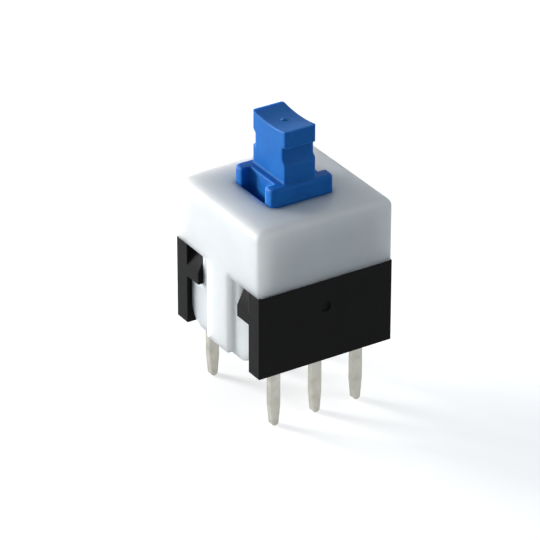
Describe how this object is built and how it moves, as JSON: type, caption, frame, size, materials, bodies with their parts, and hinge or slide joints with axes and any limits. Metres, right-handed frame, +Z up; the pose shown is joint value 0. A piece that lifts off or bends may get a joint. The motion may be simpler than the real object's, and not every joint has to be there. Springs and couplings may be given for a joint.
{
  "type": "latching push-button switch",
  "caption": "Miniature square push-button switch for a circuit board: black base, white clip-on cover, notched blue plunger and straight pins.",
  "frame": {"origin": "centre of the base's underside, the face that sits on the circuit board", "axes": "+Z up along the plunger's stroke, X along the two black walls and the rows of pins, -Y the front wall with the gate dimple"},
  "size_m": [0.008, 0.008, 0.0157],
  "materials": {
    "base_plastic": "black moulded thermoplastic, fine spark-eroded texture",
    "cover_plastic": "milky white translucent moulding, satin",
    "plunger_plastic": "mid blue moulding, satin",
    "terminal_metal": "tin-plated brass, dull",
    "spring_steel": "drawn spring wire",
    "contact_metal": "phosphor bronze strip"
  },
  "bodies": {
    "housing": {"base": "base_plastic", "cover": "cover_plastic", "return_spring": "spring_steel", "terminal_front_closed": "terminal_metal", "terminal_front_common": "terminal_metal", "terminal_front_open": "terminal_metal", "terminal_back_closed": "terminal_metal", "terminal_back_common": "terminal_metal", "terminal_back_open": "terminal_metal"},
    "button": {"plunger": "plunger_plastic", "contact_front": "contact_metal", "contact_back": "contact_metal"},
    "latch": {"latch_pin": "spring_steel"}
  },
  "joints": [
    {"name": "plunger_press", "type": "slide", "parent": "housing", "child": "button", "axis": [0, 0, -1], "range_m": [0, 0.0022], "stiffness_N_per_m": 300, "springref_m": -0.003, "deforming": ["return_spring"]},
    {"name": "latch_pin_swing", "type": "hinge", "parent": "housing", "child": "latch", "pos_m": [0, 0, 0.0068], "axis": [1, 0, 0], "range_deg": [0, 17.5]}
  ],
  "couplings": [
    {"joint": "latch_pin_swing", "follows": "plunger_press", "rad_per_m": 136}
  ]
}
